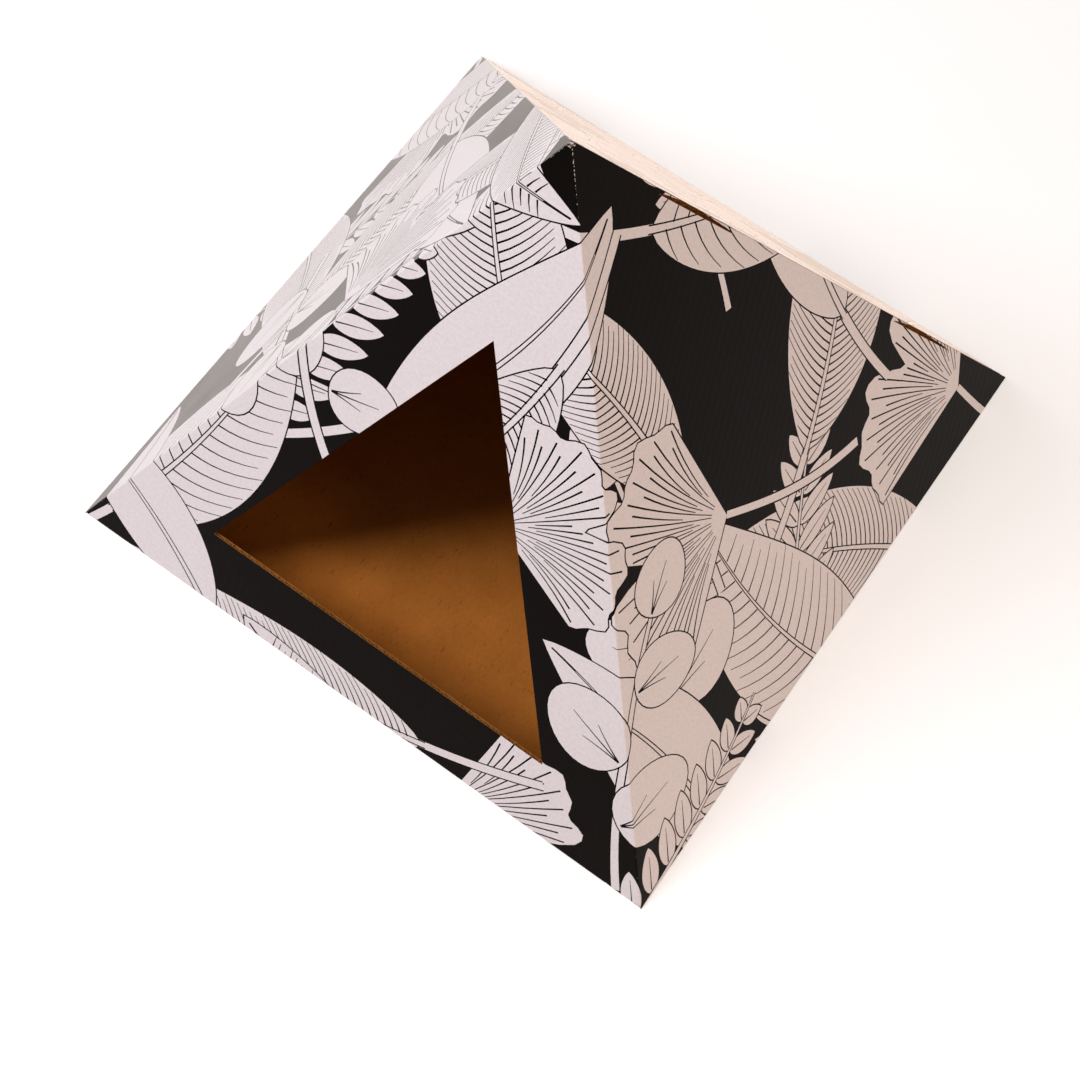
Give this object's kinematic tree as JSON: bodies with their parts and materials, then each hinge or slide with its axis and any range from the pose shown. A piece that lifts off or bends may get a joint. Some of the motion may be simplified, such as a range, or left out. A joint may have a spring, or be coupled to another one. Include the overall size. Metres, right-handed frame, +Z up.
{
  "type": "pyramid cat house",
  "caption": "Square pyramid house for a cat, folded from one sheet of printed corrugated board, with a triangular doorway and a tabbed closing seam.",
  "frame": {"origin": "middle of the base, on the ground", "axes": "+Z up through the peak, -Y out of the doorway, +X to the right as seen from the front"},
  "size_m": [0.48, 0.4796, 0.405],
  "materials": {
    "printed_board": "corrugated board with a printed, laminated outer liner, black leaves on pale paper, satin",
    "kraft_board": "plain brown kraft liner, matte"
  },
  "bodies": {
    "front_wall": {"front_panel": "printed_board"},
    "right_wall": {"right_panel": "printed_board"},
    "left_wall": {"left_panel": "printed_board"},
    "back_wall": {"back_panel": "printed_board"},
    "upper_closing_flap": {"closing_flap_upper": "kraft_board"},
    "middle_closing_flap": {"closing_flap_middle": "kraft_board"},
    "lower_closing_flap": {"closing_flap_lower": "kraft_board"},
    "upper_lock_tab": {"lock_tab_upper": "kraft_board"},
    "lower_lock_tab": {"lock_tab_lower": "kraft_board"},
    "floor": {"floor_panel": "kraft_board"},
    "left_floor_flap": {"floor_flap_left": "kraft_board"},
    "right_floor_flap": {"floor_flap_right": "kraft_board"},
    "back_floor_flap": {"floor_flap_back": "kraft_board"}
  },
  "joints": [
    {"name": "right_fold", "type": "hinge", "parent": "front_wall", "child": "right_wall", "pos_m": [0.24, -0.24, 0], "axis": [0.4529, -0.4529, -0.768], "range_deg": [0, 75]},
    {"name": "left_fold", "type": "hinge", "parent": "front_wall", "child": "left_wall", "pos_m": [-0.24, -0.24, 0], "axis": [0.4529, 0.4529, 0.768], "range_deg": [0, 75]},
    {"name": "back_fold", "type": "hinge", "parent": "left_wall", "child": "back_wall", "pos_m": [-0.24, 0.24, 0], "axis": [0.4529, -0.4529, 0.768], "range_deg": [0, 75]},
    {"name": "closing_flap_upper_fold", "type": "hinge", "parent": "back_wall", "child": "upper_closing_flap", "pos_m": [0.02707, 0.0309, 0.3546], "axis": [-0.4529, -0.4529, 0.768], "range_deg": [0, 75]},
    {"name": "closing_flap_middle_fold", "type": "hinge", "parent": "back_wall", "child": "middle_closing_flap", "pos_m": [0.11492, 0.11875, 0.20562], "axis": [-0.4529, -0.4529, 0.768], "range_deg": [0, 75]},
    {"name": "closing_flap_lower_fold", "type": "hinge", "parent": "back_wall", "child": "lower_closing_flap", "pos_m": [0.20842, 0.21225, 0.04705], "axis": [-0.4529, -0.4529, 0.768], "range_deg": [0, 75]},
    {"name": "lock_tab_upper_fold", "type": "hinge", "parent": "right_wall", "child": "upper_lock_tab", "pos_m": [0.05589, 0.05275, 0.31221], "axis": [0.4529, 0.4529, -0.768], "range_deg": [0, 90]},
    {"name": "lock_tab_lower_fold", "type": "hinge", "parent": "right_wall", "child": "lower_lock_tab", "pos_m": [0.18132, 0.17818, 0.09952], "axis": [0.4529, 0.4529, -0.768], "range_deg": [0, 90]},
    {"name": "floor_fold", "type": "hinge", "parent": "front_wall", "child": "floor", "pos_m": [0, -0.24, 0], "axis": [-1, 0, 0], "range_deg": [0, 120]},
    {"name": "floor_flap_left_fold", "type": "hinge", "parent": "floor", "child": "left_floor_flap", "pos_m": [-0.23617, 0, 0], "axis": [0, -1, 0], "range_deg": [0, 120]},
    {"name": "floor_flap_right_fold", "type": "hinge", "parent": "floor", "child": "right_floor_flap", "pos_m": [0.23617, 0, 0], "axis": [0, 1, 0], "range_deg": [0, 120]},
    {"name": "floor_flap_back_fold", "type": "hinge", "parent": "floor", "child": "back_floor_flap", "pos_m": [0, 0.23617, 0], "axis": [-1, 0, 0], "range_deg": [0, 120]}
  ],
  "couplings": [
    {"joint": "back_fold", "follows": "right_fold", "ratio": 1},
    {"joint": "closing_flap_upper_fold", "follows": "right_fold", "ratio": 1},
    {"joint": "closing_flap_middle_fold", "follows": "right_fold", "ratio": 1},
    {"joint": "closing_flap_lower_fold", "follows": "right_fold", "ratio": 1},
    {"joint": "lock_tab_upper_fold", "follows": "right_fold", "ratio": 1.2},
    {"joint": "lock_tab_lower_fold", "follows": "right_fold", "ratio": 1.2},
    {"joint": "floor_flap_left_fold", "follows": "floor_fold", "ratio": 1},
    {"joint": "floor_flap_right_fold", "follows": "floor_fold", "ratio": 1},
    {"joint": "floor_flap_back_fold", "follows": "floor_fold", "ratio": 1}
  ]
}
